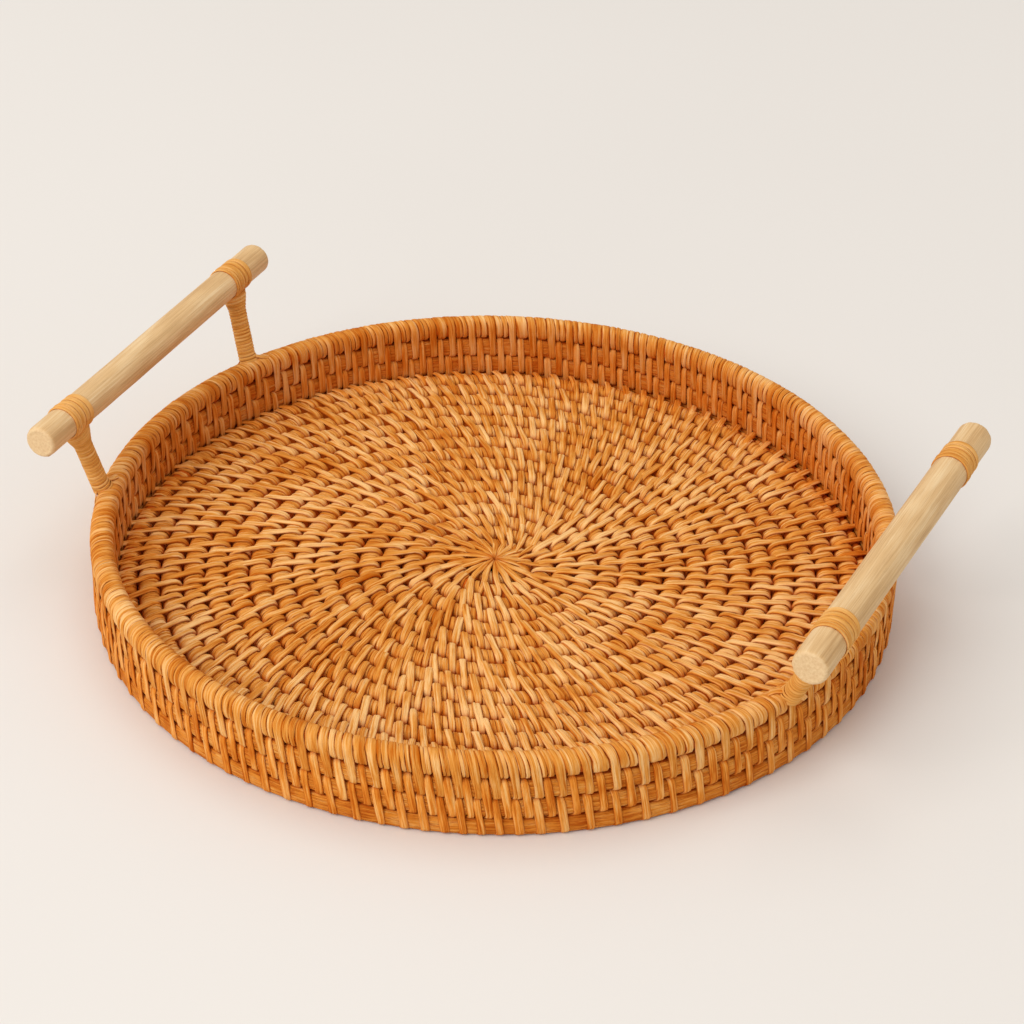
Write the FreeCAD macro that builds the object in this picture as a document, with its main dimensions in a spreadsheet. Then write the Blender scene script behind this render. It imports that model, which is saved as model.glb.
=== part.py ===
"""Round coiled-rattan serving tray with two lashed bar handles.

Units are millimetres. The tray stands on z = 0 with its centre on the Z axis, the handles lie at
+X and -X, and each handle bar runs nearly along Y. One bar stands further out than the other, so
the files are written with the middle of the whole part on the Z axis instead.
"""
import math
import os

import FreeCAD
import Part
import Sketcher

V = FreeCAD.Vector
UP = V(0, 0, 1)
ORIGIN = V(0, 0, 0)

doc = FreeCAD.newDocument("serving_tray")

# ---------------------------------------------------------------- driving dimensions
SIZES = {
    # the tray
    "tray_radius": 175.0,  # outside of the bound rim
    "cane_radius": 4.25,  # the cane that is coiled into floor and wall
    "rim_cane_radius": 4.5,  # the slightly thicker cane of the rim
    "peel_thickness": 0.6,  # the flat peel that binds the coils
    "peel_width": 3.6,
    "binding_clearance": 0.1,  # between a cane and the peel around it
    "floor_turns": 16.5,
    "floor_height": 6.0,  # centre of the floor's cane above the table
    "base_height": 4.05,  # centre of the corner row: its underside is pressed flat at z = 0
    "rim_height": 32.6,  # centre of the rim's cane
    "stitch_spacing": 7.6,  # along the coil's first turn
    "tail_end_radius": 0.8,  # the coil's outer end is thinned down to this
    # the handles: made by hand, so the two bars differ a little
    "left_bar_radius": 7.3,
    "left_bar_length": 187.0,
    "left_bar_reach": 172.9,  # from the tray's centre to the middle of the bar's axis
    "left_bar_height": 72.7,
    "left_bar_splay": 1.2,  # how far, in degrees, the bar's back end is turned outwards
    "right_bar_radius": 7.75,
    "right_bar_length": 190.0,
    "right_bar_reach": 179.9,
    "right_bar_height": 75.0,
    "right_bar_splay": 1.0,
    "bar_shift": 1.3,  # both bars sit this far towards the back
    "bar_end_round": 1.6,
    "post_radius": 3.2,
    "post_angle": 21.0,  # a post's foot on the rim, in degrees from the X axis
    "post_foot_out": 3.0,  # a post's foot, outwards from the middle of the rim's cane
    "post_foot_up": 1.4,  # and upwards from it
    "post_top_offset": 69.0,  # a post's top, along the bar from its middle
    "wrap_thickness": 0.6,
    "wrap_pitch": 1.6,
    "wrap_rib": 0.3,  # how far each turn of the wrapping bulges
    "post_fit": 0.05,  # between a post and what it sits in or is wrapped with
    "strand_width": 1.5,
    "strand_turns": 3,
    "lash_width": 3.1,
    "lash_turns": 3,
    "lash_gap": 0.2,
    "root_turns": 2,  # strips round the rim on each side of a post's foot
    "root_clearance": 0.6,  # from the post's wrapping to the first of them
    "root_gap": 0.3,
}

sheet = doc.addObject("Spreadsheet::Sheet", "Sizes")
for row, (alias, number) in enumerate(SIZES.items(), start=1):
    sheet.set("A%d" % row, alias)
    sheet.set("B%d" % row, str(number))
    sheet.setAlias("B%d" % row, alias)
doc.recompute()


def size(alias):
    """A driving dimension, read back from the spreadsheet."""
    return float(sheet.get(alias))


# ---------------------------------------------------------------- sizes that follow
CANE = size("cane_radius")
RIM_CANE = size("rim_cane_radius")
PEEL = size("peel_thickness")
CLEAR = size("binding_clearance")
RING_RADIUS_RULE = (
    "Sizes.tray_radius - Sizes.rim_cane_radius - Sizes.binding_clearance - Sizes.peel_thickness"
)
RING = size("tray_radius") - RIM_CANE - CLEAR - PEEL
FLOOR_Z = size("floor_height")
WALL_ROWS = 3  # spaces between the corner row, the two wall rows and the rim
ROW_RISE_RULE = "(Sizes.rim_height - Sizes.base_height) / %d" % WALL_ROWS
ROW_RISE = (size("rim_height") - size("base_height")) / WALL_ROWS
BASE_Z = size("base_height")
LOWER_Z = BASE_Z + ROW_RISE
UPPER_Z = BASE_Z + 2 * ROW_RISE
RIM_Z = size("rim_height")
TURNS = size("floor_turns")
PITCH = RING / (TURNS + 1.25)  # the spiral starts a quarter pitch out and ends one inside the wall
LAST_ANGLE = 2 * math.pi * TURNS
FIRST_STITCH = 1.0 * math.pi  # winding angle where the centre's hole is wide enough for peel

exported = []


def keep(shape_object, label):
    """Names a finished sub-part and puts it on the list of files to write."""
    shape_object.Label = label
    exported.append(shape_object)
    return shape_object


def keep_shape(shape, label):
    """A sub-part whose shape is worked out by Part functions from the sizes above."""
    feature = doc.addObject("Part::Feature", label)
    feature.Shape = shape
    return keep(feature, label)


# ---------------------------------------------------------------- the floor's spiral
def coil_radius(turned):
    """Distance of the floor's cane from the Z axis after an angle of winding, in radians.

    The spiral is made of half-circles whose centres stand a quarter pitch either side of the axis.
    """
    half = int(turned // math.pi)
    centre_x = -PITCH / 4 if half % 2 == 0 else PITCH / 4
    arc_radius = PITCH / 2 * (half + 1)
    along = centre_x * math.cos(turned)
    across = centre_x * math.sin(turned)
    return along + math.sqrt(arc_radius**2 - across**2)


def half_circles(first_radius, growth, first_half, count, height):
    """Tangent half-circles about two centres; each one's radius is half the growth larger."""
    edges = []
    for step in range(count):
        half = first_half + step
        side = 1 if half % 2 == 0 else -1
        centre = V(-side * growth / 4, 0, height)
        arc_radius = first_radius + growth / 2 * step
        start = centre + V(side * arc_radius, 0, 0)
        middle = centre + V(0, side * arc_radius, 0)
        end = centre - V(side * arc_radius, 0, 0)
        edges.append(Part.Arc(start, middle, end).toShape())
    return edges


def section(at, cane_radius):
    """A cane's round section across the Y direction."""
    return Part.Wire(Part.makeCircle(cane_radius, at, V(0, 1, 0)))


def floor_coil():
    """One cane wound from the centre outwards, with its last turn thinned to meet the wall."""
    halves = int(round(2 * TURNS))
    spine = Part.Wire(half_circles(PITCH / 2, PITCH, 0, halves, FLOOR_Z))
    start = spine.OrderedVertexes[0].Point
    body = spine.makePipeShell([section(start, CANE)], True, False)
    expected = math.pi * CANE**2 * spine.Length
    if abs(body.Volume / expected - 1) > 0.01:
        raise ValueError("the floor coil's volume is off: %.0f, not %.0f" % (body.Volume, expected))
    return body, spine.OrderedVertexes[-1].Point


def floor_tail(start):
    """The thinned end of the floor's cane, in the wedge between its last turn and the wall."""
    side = 1 if start.x > 0 else -1
    growth = PITCH / 2
    first_half = 0 if side > 0 else 1
    reach = abs(start.x)
    spine = Part.Wire(half_circles(reach + growth / 4, growth, first_half, 2, FLOOR_Z))
    end = spine.OrderedVertexes[-1].Point
    sweep = Part.BRepOffsetAPI.MakePipeShell(spine)
    sweep.add(section(start, CANE))
    sweep.add(section(end, size("tail_end_radius")))
    sweep.build()
    sweep.makeSolid()
    return sweep.shape()


# ---------------------------------------------------------------- peel bindings
def racetrack(first, second, radius):
    """The outline of a strip pulled tight around two canes, in the plane of the Z and X axes."""
    a = V(first[0], 0, first[1])
    b = V(second[0], 0, second[1])
    if (b - a).Length < 0.01:
        return Part.Wire(Part.makeCircle(radius, a, V(0, 1, 0)))
    along = (b - a).normalize() * radius
    across = V(-along.z, 0, along.x)
    return Part.Wire(
        [
            Part.makeLine(a + across, b + across),
            Part.Arc(b + across, b + along, b - across).toShape(),
            Part.makeLine(b - across, a - across),
            Part.Arc(a - across, a - along, a + across).toShape(),
        ]
    )


def binding_loop(angle, first, second, inner, width):
    """A strip of peel once around two canes; each cane is (distance from the axis, height)."""
    outlines = [racetrack(first, second, inner + PEEL), racetrack(first, second, inner)]
    face = Part.makeFace(outlines, "Part::FaceMakerBullseye")
    face.translate(V(0, -width / 2, 0))
    loop = face.extrude(V(0, width, 0))
    loop.rotate(ORIGIN, UP, math.degrees(angle))
    return loop


def above_table(shape):
    """Leaves out what would lie below the table, where the strips are pressed into the cane."""
    reach = 2 * size("tray_radius")
    block = Part.makeBox(reach, reach, reach, V(-reach / 2, -reach / 2, 0))
    return shape.common(block).Solids


def between(low, high, shared_radius, most):
    """Angles of the next row's stitches between two of this row's, or none where they are close.

    The stitches of two neighbouring rows share a cane, so they stand a peel's width apart on it.
    """
    room = (high - low) * shared_radius
    share = size("peel_width") + CLEAR
    count = min(int(room / share) - 1, most)
    return [low + (high - low) * (step + 1) / (count + 1) for step in range(count)]


def floor_stitches():
    """Winding angles of the floor's stitches, each between stitches of the turn inside it."""
    turned = FIRST_STITCH
    angles = []
    while turned < FIRST_STITCH + 2 * math.pi:
        angles.append(turned)
        turned += size("stitch_spacing") / coil_radius(turned)
    index = 0
    while index + 1 < len(angles):
        low, high = angles[index], angles[index + 1]
        for angle in between(low, high, coil_radius(low), 2):
            turned = angle + 2 * math.pi
            if angles[-1] < turned < LAST_ANGLE:
                angles.append(turned)
        index += 1
    return angles


def ring_stitches(angles, shared_radius, most=1):
    """Angles of the stitches of a closed row, between those of the row before it."""
    closed = sorted(angles)
    closed.append(closed[0] + 2 * math.pi)
    found = []
    for low, high in zip(closed, closed[1:]):
        found += between(low, high, shared_radius, most)
    return [angle % (2 * math.pi) for angle in found]


def floor_bindings(angles):
    """The floor's stitches, one group for each turn of the coil."""
    groups = {}
    for turned in angles:
        outer = (coil_radius(turned), FLOOR_Z)
        inner = outer
        if turned > FIRST_STITCH + 2 * math.pi:
            inner = (coil_radius(turned - 2 * math.pi), FLOOR_Z)
        loop = binding_loop(turned, inner, outer, CANE + CLEAR, size("peel_width"))
        groups.setdefault(int(turned / (2 * math.pi)), []).append(loop)
    for turn, loops in sorted(groups.items()):
        label = "floor_binding_%02d" % turn if turn else "centre_binding"
        keep_shape(Part.makeCompound(loops), label)


def near_post(angle, margin):
    """True where a stitch of the rim would run into a post's foot."""
    foot = math.radians(size("post_angle"))
    folded = abs(math.remainder(angle, math.pi))
    return abs(folded - foot) * RING < margin


def wall_binding(label, angles, lower, upper, inner):
    """Long stitches around two rows of the wall."""
    loops = []
    for angle in angles:
        loop = binding_loop(angle, (RING, lower), (RING, upper), inner, size("peel_width"))
        loops += above_table(loop)
    return keep_shape(Part.makeCompound(loops), label)


def edge_binding(angles):
    """Stitches that tie the floor's last turn to the corner row, over the thinned end."""
    loops = []
    for angle in angles:
        turned = angle + 2 * math.pi * math.floor((LAST_ANGLE - angle) / (2 * math.pi))
        inner = (coil_radius(turned), FLOOR_Z)
        loop = binding_loop(angle, inner, (RING, BASE_Z), CANE + CLEAR, size("peel_width"))
        loops += above_table(loop)
    return keep_shape(Part.makeCompound(loops), "edge_binding")


def bindings():
    """All the stitches, each row's set between those of the row before it."""
    floor = floor_stitches()
    floor_bindings(floor)
    outermost = [angle % (2 * math.pi) for angle in floor if angle > LAST_ANGLE - 2 * math.pi]
    edge = ring_stitches(outermost, RING - PITCH, 2)
    edge_binding(edge)
    lower = ring_stitches(edge, RING)
    wall_binding("wall_binding_lower", lower, BASE_Z, LOWER_Z, CANE + CLEAR)
    middle = ring_stitches(lower, RING)
    wall_binding("wall_binding_middle", middle, LOWER_Z, UPPER_Z, CANE + CLEAR)
    rim_inner = RIM_CANE + CLEAR
    strips = size("root_turns") + 1  # half a strip more on each side, for the stitch's own width
    lashed = size("post_radius") + size("wrap_thickness") + strips * size("peel_width")
    upper = [a for a in ring_stitches(middle, RING) if not near_post(a, lashed)]
    wall_binding("wall_binding_upper", upper, UPPER_Z, RIM_Z, rim_inner)
    wraps = [a for a in ring_stitches(upper, RING) if not near_post(a, lashed)]
    rim = (RING, RIM_Z)
    loops = [binding_loop(angle, rim, rim, rim_inner, size("peel_width")) for angle in wraps]
    keep_shape(Part.makeCompound(loops), "rim_wraps")


# ---------------------------------------------------------------- the wall's canes
def upright_sketch(body, name):
    """A sketch on the body's own XZ plane, so that its vertical axis is Z."""
    plane = [f for f in body.Origin.OriginFeatures if f.Role == "XZ_Plane"][0]
    sketch = body.newObject("Sketcher::SketchObject", name)
    sketch.AttachmentSupport = [(plane, "")]
    sketch.MapMode = "FlatFace"
    return sketch


def revolve(body, sketch, name):
    """Turns the sketch once round the body's Z axis."""
    turning = body.newObject("PartDesign::Revolution", name)
    turning.Profile = sketch
    turning.ReferenceAxis = (sketch, ["V_Axis"])
    turning.Angle = 360
    body.Tip = turning
    return turning


def corner_row():
    """The cane that the tray stands on: round, with its underside pressed flat."""
    body = doc.addObject("PartDesign::Body", "corner_row")
    sketch = upright_sketch(body, "corner_row_section")
    half_flat = math.sqrt(CANE**2 - BASE_Z**2)
    low = math.atan2(-BASE_Z, half_flat)
    circle = Part.Circle(V(RING, BASE_Z, 0), UP, CANE)
    arc = sketch.addGeometry(Part.ArcOfCircle(circle, low, math.pi - low), False)
    left, right = V(RING - half_flat, 0, 0), V(RING + half_flat, 0, 0)
    flat = sketch.addGeometry(Part.LineSegment(left, right), False)
    start, end, centre = 1, 2, 3
    x_axis = -1
    sketch.addConstraint(Sketcher.Constraint("Coincident", arc, end, flat, start))
    sketch.addConstraint(Sketcher.Constraint("Coincident", arc, start, flat, end))
    sketch.addConstraint(Sketcher.Constraint("PointOnObject", flat, start, x_axis))
    sketch.addConstraint(Sketcher.Constraint("Horizontal", flat))
    rules = [
        (Sketcher.Constraint("Radius", arc, CANE), "Sizes.cane_radius"),
        (Sketcher.Constraint("DistanceX", -1, 1, arc, centre, RING), RING_RADIUS_RULE),
        (Sketcher.Constraint("DistanceY", -1, 1, arc, centre, BASE_Z), "Sizes.base_height"),
    ]
    for constraint, rule in rules:
        index = sketch.addConstraint(constraint)
        sketch.setExpression("Constraints[%d]" % index, rule)
    revolve(body, sketch, "corner_row_turned")
    return keep(body, "corner_row")


def ring(label, radius_rule, height_rule):
    """A closed row of the wall."""
    torus = doc.addObject("Part::Torus", label)
    torus.setExpression("Radius1", RING_RADIUS_RULE)
    torus.setExpression("Radius2", radius_rule)
    torus.setExpression("Placement.Base.z", height_rule)
    return keep(torus, label)


# ---------------------------------------------------------------- the handles
def axis_frame(start, end):
    """A placement whose Z axis runs from start towards end."""
    return FreeCAD.Placement(start, FreeCAD.Rotation(UP, end - start))


def bar_size(side, name):
    """A size that the two bars have each of their own."""
    return size(("right_bar_" if side > 0 else "left_bar_") + name)


def bar_axis(side):
    """The middle of a bar, and the direction of its axis towards the back."""
    middle = V(side * bar_size(side, "reach"), size("bar_shift"), bar_size(side, "height"))
    splay = math.radians(bar_size(side, "splay"))
    return middle, V(side * math.sin(splay), math.cos(splay), 0)


def post_ends(side, end):
    """A post's foot on the outer shoulder of the rim's cane, and its top on the bar's axis."""
    foot = math.radians(size("post_angle"))
    out = RING + size("post_foot_out")
    low = V(side * out * math.cos(foot), end * out * math.sin(foot), RIM_Z + size("post_foot_up"))
    middle, along = bar_axis(side)
    return low, middle + along * (end * size("post_top_offset"))


def bar_block(side, radius):
    """A long cylinder about a bar's axis, to fit other pieces round the bar."""
    length = 2 * bar_size(side, "length")
    middle, along = bar_axis(side)
    return Part.makeCylinder(radius, length, middle - along * (length / 2), along)


def rim_block(radius):
    """A ring about the rim's axis, to fit other pieces on the rim."""
    return Part.makeTorus(RING, radius, V(0, 0, RIM_Z), UP)


def handle_bar(side, name):
    """The turned wooden bar, with rounded ends."""
    body = doc.addObject("PartDesign::Body", name + "_bar")
    sketch = upright_sketch(body, name + "_bar_section")
    radius, half = bar_size(side, "radius"), bar_size(side, "length") / 2
    own = "Sizes.right_bar_" if side > 0 else "Sizes.left_bar_"
    corners = [V(0, -half, 0), V(radius, -half, 0), V(radius, half, 0), V(0, half, 0)]
    lines = []
    for number in range(4):
        segment = Part.LineSegment(corners[number], corners[(number + 1) % 4])
        lines.append(sketch.addGeometry(segment, False))
    for number in range(4):
        following = lines[(number + 1) % 4]
        sketch.addConstraint(Sketcher.Constraint("Coincident", lines[number], 2, following, 1))
    for number, kind in enumerate(["Horizontal", "Vertical", "Horizontal", "Vertical"]):
        sketch.addConstraint(Sketcher.Constraint(kind, lines[number]))
    y_axis = -2
    sketch.addConstraint(Sketcher.Constraint("PointOnObject", lines[0], 1, y_axis))
    rules = [
        (Sketcher.Constraint("DistanceX", -1, 1, lines[0], 2, radius), own + "radius"),
        (Sketcher.Constraint("DistanceY", -1, 1, lines[1], 2, half), own + "length / 2"),
        (Sketcher.Constraint("DistanceY", lines[1], 1, -1, 1, half), own + "length / 2"),
    ]
    for constraint, rule in rules:
        index = sketch.addConstraint(constraint)
        sketch.setExpression("Constraints[%d]" % index, rule)
    turned = revolve(body, sketch, name + "_bar_turned")
    doc.recompute()
    rims = [
        "Edge%d" % number
        for number, edge in enumerate(turned.Shape.Edges, start=1)
        if isinstance(edge.Curve, Part.Circle)
    ]
    rounding = body.newObject("PartDesign::Fillet", name + "_bar_ends")
    rounding.Base = (turned, rims)
    rounding.setExpression("Radius", "Sizes.bar_end_round")
    body.Tip = rounding
    middle, along = bar_axis(side)
    body.Placement = FreeCAD.Placement(middle, FreeCAD.Rotation(UP, along))
    return keep(body, name + "_bar")


def post_core(side, end, name):
    """The upright cane between rim and bar, coped at both ends to sit on them."""
    low, high = post_ends(side, end)
    core = doc.addObject("Part::Cylinder", name + "_blank")
    core.setExpression("Radius", "Sizes.post_radius")
    core.Height = (high - low).Length
    core.Placement = axis_frame(low, high)
    seats = doc.addObject("Part::Feature", name + "_seats")
    fit = size("post_fit")
    seats.Shape = bar_block(side, bar_size(side, "radius") + fit).fuse(rim_block(RIM_CANE + fit))
    coped = doc.addObject("Part::Cut", name)
    coped.Base = core
    coped.Tool = seats
    return keep(coped, name)


def post_wrap(side, end, name):
    """Peel wound closely down the post: a sleeve with one rib for each turn."""
    low, high = post_ends(side, end)
    length = (high - low).Length
    inner = size("post_radius") + size("post_fit")
    groove = inner + size("wrap_thickness")
    crown = groove + size("wrap_rib")
    turns = int(length / size("wrap_pitch"))
    rise = length / turns
    edges = [Part.makeLine(V(inner, 0, 0), V(groove, 0, 0))]
    for number in range(turns):
        bottom, top = number * rise, (number + 1) * rise
        middle = V(crown, 0, (bottom + top) / 2)
        edges.append(Part.Arc(V(groove, 0, bottom), middle, V(groove, 0, top)).toShape())
    edges.append(Part.makeLine(V(groove, 0, length), V(inner, 0, length)))
    edges.append(Part.makeLine(V(inner, 0, length), V(inner, 0, 0)))
    sleeve = Part.Face(Part.Wire(edges)).revolve(ORIGIN, UP, 360)
    sleeve.Placement = axis_frame(low, high)
    lashed = bar_size(side, "radius") + PEEL + 2 * CLEAR
    bound = RIM_CANE + PEEL + 2 * CLEAR
    sleeve = sleeve.cut(bar_block(side, lashed)).cut(rim_block(bound))
    return keep_shape(Part.makeCompound(sleeve.Solids), name)


def bar_lashing(side, end, name):
    """Thin turns and then broad ones round the bar, open where the post comes through."""
    low, high = post_ends(side, end)
    post = Part.makeCylinder(size("post_radius") + CLEAR, (high - low).Length)
    post.Placement = axis_frame(low, high)
    widths = [size("strand_width")] * int(size("strand_turns"))
    widths += [size("lash_width")] * int(size("lash_turns"))
    gap = size("lash_gap")
    inner = bar_size(side, "radius") + CLEAR
    along = bar_axis(side)[1]
    start = high - along * ((sum(widths) + gap * (len(widths) - 1)) / 2)
    bands = []
    for width in widths:
        band = Part.makeCylinder(inner + PEEL, width, start, along)
        band = band.cut(Part.makeCylinder(inner, width, start, along)).cut(post)
        bands += band.Solids
        start += along * (width + gap)
    return keep_shape(Part.makeCompound(bands), name)


def root_lashing(side, end, name):
    """Strips round the rim and the row below it, either side of a post's foot."""
    foot = math.radians(size("post_angle"))
    width = size("peel_width")
    first = size("post_radius") + size("wrap_thickness") + size("root_clearance") + width / 2
    loops = []
    for strip in range(int(size("root_turns"))):
        for way in (-1, 1):
            away = way * (first + strip * (width + size("root_gap"))) / RING
            angle = math.atan2(end * math.sin(foot), side * math.cos(foot)) + away
            loops.append(
                binding_loop(angle, (RING, UPPER_Z), (RING, RIM_Z), RIM_CANE + CLEAR, width)
            )
    return keep_shape(Part.makeCompound(loops), name)


# ---------------------------------------------------------------- the assembly
coil, coil_end = floor_coil()
keep_shape(coil, "floor_coil")
keep_shape(floor_tail(coil_end), "floor_coil_tail")
bindings()
corner_row()
ring("wall_row_lower", "Sizes.cane_radius", "Sizes.base_height + " + ROW_RISE_RULE)
ring("wall_row_upper", "Sizes.cane_radius", "Sizes.base_height + 2 * " + ROW_RISE_RULE)
ring("rim_cane", "Sizes.rim_cane_radius", "Sizes.rim_height")
for side, side_name in ((-1, "left"), (1, "right")):
    handle_bar(side, side_name + "_handle")
    for end, end_name in ((-1, "front"), (1, "back")):
        name = "%s_%s_" % (side_name, end_name)
        post_core(side, end, name + "post")
        post_wrap(side, end, name + "post_wrap")
        bar_lashing(side, end, name + "bar_lashing")
        root_lashing(side, end, name + "root_lashing")

# ---------------------------------------------------------------- checks and files
doc.recompute()
os.makedirs("parts", exist_ok=True)
for item in exported:
    if "Invalid" in item.State or "Error" in item.State:
        raise ValueError("%s did not recompute" % item.Label)
    if item.Shape.isNull() or not item.Shape.isValid():
        raise ValueError("%s has no valid shape" % item.Label)
whole = FreeCAD.BoundBox()
for item in exported:
    whole.add(item.Shape.optimalBoundingBox(False, False))
recentre = V(-whole.Center.x, 0, 0)  # the files' origin is in the middle of the whole part
for item in exported:
    placed = item.Shape.translated(recentre)
    placed.exportStep("parts/%s.step" % item.Label)
print("%d sub-parts written, moved %.2f mm along X" % (len(exported), recentre.x))
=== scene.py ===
"""Looks of the round rattan tray: wound peel, canes, lashed wooden bars, studio light and camera.

Lengths inside the functions are millimetres; a mesh is scaled to metres when it is made. In the
weaving code `rho` is the distance from the Z axis and `angle` is counter-clockwise from +X.
"""

import math

import bpy
import numpy as np
from mathutils import Matrix, Vector


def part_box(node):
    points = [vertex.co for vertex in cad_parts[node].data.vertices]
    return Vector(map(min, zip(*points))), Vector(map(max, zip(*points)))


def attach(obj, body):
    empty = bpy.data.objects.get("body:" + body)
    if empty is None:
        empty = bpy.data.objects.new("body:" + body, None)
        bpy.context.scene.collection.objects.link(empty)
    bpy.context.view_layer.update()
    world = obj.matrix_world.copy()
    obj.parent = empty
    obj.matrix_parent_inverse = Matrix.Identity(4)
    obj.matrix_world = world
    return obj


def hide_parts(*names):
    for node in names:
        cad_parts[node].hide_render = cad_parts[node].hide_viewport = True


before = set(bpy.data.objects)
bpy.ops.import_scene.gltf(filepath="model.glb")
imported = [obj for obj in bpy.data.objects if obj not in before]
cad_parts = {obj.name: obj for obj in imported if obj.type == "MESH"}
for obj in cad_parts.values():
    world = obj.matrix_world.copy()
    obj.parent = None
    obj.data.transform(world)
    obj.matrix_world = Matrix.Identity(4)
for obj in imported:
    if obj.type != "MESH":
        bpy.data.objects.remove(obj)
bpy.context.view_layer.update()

MM = 0.001
rng = np.random.default_rng(20)


# ---- sizes read from the frame
CENTRE = np.array([sum(corner[0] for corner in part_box("rim_cane")) / 2 / MM, 0, 0])


def box_mm(node):
    """Lowest and highest corner of a CAD node, in millimetres from the round tray's centre."""
    low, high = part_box(node)
    return np.array(low) / MM - CENTRE, np.array(high) / MM - CENTRE


def ring_of(node):
    """Ring radius, height of the centre and cane radius of one of the wall's rows."""
    low, high = box_mm(node)
    cane = (high[2] - low[2]) / 2
    return high[0] - cane, (high[2] + low[2]) / 2, cane


RING, RIM_Z, RIM_CANE = ring_of("rim_cane")
UPPER_Z, CANE = ring_of("wall_row_upper")[1:]
LOWER_Z = ring_of("wall_row_lower")[1]
BASE_Z = box_mm("corner_row")[1][2] - CANE
FLOOR_Z = sum(c[2] for c in box_mm("floor_coil")) / 2
TAU = 2 * math.pi
FLOOR_TURNS = 16.5
PITCH = RING / (FLOOR_TURNS + 1.25)  # from one turn of the coil to the next
LAST_ANGLE = TAU * FLOOR_TURNS  # winding angle where the coil's thinned end begins

# ---- sizes of the weave
PEEL = 0.55  # thickness of the peel at the middle of its width
SHORT_PEEL = PEEL * 0.9  # the same for each kind of strip that differs
LONG_PEEL = PEEL * 1.6
SPOKE_PEEL = PEEL * 1.3
EDGE_PEEL = PEEL * 1.2
WALL_PEEL = PEEL * 1.15
RIM_PEEL = 0.58
SEAT = 0.04  # between a cane and the peel on it
RIM_SEAT = 0.08
TABLE_GAP = 0.05  # the lowest strips stay this far above the table
UNDERSIDE = -math.pi / 2  # every loop starts under its cane, where the normal points down
OUTLINE_SAMPLES = 241  # fine points round an outline, and then on a free stretch of it
STRETCH_SAMPLES = 9
TURN_WEIGHT = 0.8  # a loop has more steps where its outline turns
NEAR_MIDDLE = 6.0  # closer to the Z axis than this, a lean turns a strip no further

PERIOD = 10.0  # from one long stitch to the next along a row
LONG_WIDTH = 3.2  # a long stitch on the floor
WALL_WIDTH = 3.5
LONG_ON_RIM = 4.2  # a long wrap on the rim's crest
TWO_WRAPS = 0.75  # share of the rim's gaps that have two short wraps and not one
RIM_TAPER = 0.16  # share of its width that a wrap of the rim loses towards its foot
SHORT_SHARE = 2.4  # room that one short wrap takes
SHORT_FIT = 1.03  # width of a short wrap for its room
CROSSING_WIDTH = 3.0
WALL_STITCHES = 106
SET_SHIFT = -0.7  # a set of the wall's stitches, from the middle between those of the set below
ROSETTE = 20  # strips that meet in the tray's middle
FAN_ROOM = 2.6  # what these strips take from the room of each stitch between them
FAN_LEAST = 0.9  # and the least width that it keeps
COIL_START = 0.75 * math.pi  # winding angle of the coil's first wrap
TAIL_END = 0.8  # radius of the coil's thinned end at its tip
UNDER_SHARE = 0.33  # of a strip's relief, kept on the floor's underside

FLOOR_LEAN = 0.165  # slope of the floor's strips: mean, swing and where round the tray it swings
LEAN_SWING = 0.09
LEAN_PHASE = 0.35
SHORT_LEAN = -0.06  # the short wraps lean less than the long stitches
OUTER_LEAN = 0.15  # slope of the wall's strips on the outside, and then on the inside
INNER_LEAN = 0.06
CREST_LEAN = 1.15  # how far a strip moves on from the rim's crest to its side
INNER_SHADE = 0.3  # painted shade: the wall is darker on the inside
TONE_SPREAD = 0.45  # from strip to strip

FLAT = 2.6  # how square the floor's rows look in section; 2 would be round
WALL_FLAT = 4.2  # the same for the wall's rows
RIM_FLAT = 2.4  # and for the rim
ROW_HALF = 4.7  # half the height of a row of the wall
BASE_HALF = BASE_Z - WALL_PEEL - SEAT - TABLE_GAP  # the corner row reaches less far down
CORNER_BOTTOM = 0.15
CANE_RIDGES = 0.11  # depth of the ridges along the wall's canes

CAD_ROUND = 1.6  # rounding of the CAD bars' ends
FOOT_OUT = 3.0  # a post's foot, outwards and upwards from the middle of the rim's cane
FOOT_UP = 1.4
ROOT_REACH = 13.0  # the rim's wraps this near to a post's foot belong to its lashing

# a strip's section: share of the half width, share of the thickness
SECTION = np.array([
    (-1, 0.0), (-0.93, 0.5), (-0.7, 0.82), (-0.4, 0.95), (-0.1, 1.0),
    (0.25, 0.99), (0.55, 0.9), (0.82, 0.68), (1, 0.0), (0, -0.2),
])
STRIP_RIDGES = 0.11  # unevenness of that thickness across the strip


# ---- gathering a mesh
class Gathered:
    """Points, faces and grain coordinates of one piece, before its mesh is made."""

    def __init__(self):
        self.points, self.faces, self.grain, self.look = [], [], [], []
        self.count = 0

    def add(self, points, faces, grain, look):
        """Points in rings and places round each ring; faces are lists of point numbers.

        grain and look have three parts each: numbers, or arrays that spread over the points.
        """
        for kept, parts in ((self.grain, grain), (self.look, look)):
            spread = [np.broadcast_to(part, points.shape[:2]) for part in parts]
            kept.append(np.stack(spread, axis=-1).reshape(-1, 3))
        self.points.append(points.reshape(-1, 3))
        self.faces += [[corner + self.count for corner in face] for face in faces]
        self.count += len(self.points[-1])

    def piece(self, name, material, slot, *nodes):
        """The finished object, riding on the root body in place of the CAD nodes."""
        mesh = bpy.data.meshes.new(name)
        points = (np.concatenate(self.points) + CENTRE) * MM
        mesh.from_pydata(points.tolist(), [], self.faces)
        for label, values in (("grain", self.grain), ("look", self.look)):
            attribute = mesh.attributes.new(label, "FLOAT_VECTOR", "POINT")
            attribute.data.foreach_set("vector", np.concatenate(values).astype(np.float32).ravel())
        mesh.shade_smooth()
        mesh.materials.append(material)
        made = bpy.data.objects.new(name, mesh)
        bpy.context.scene.collection.objects.link(made)
        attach(made, "root")
        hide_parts(*nodes)
        return made


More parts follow.
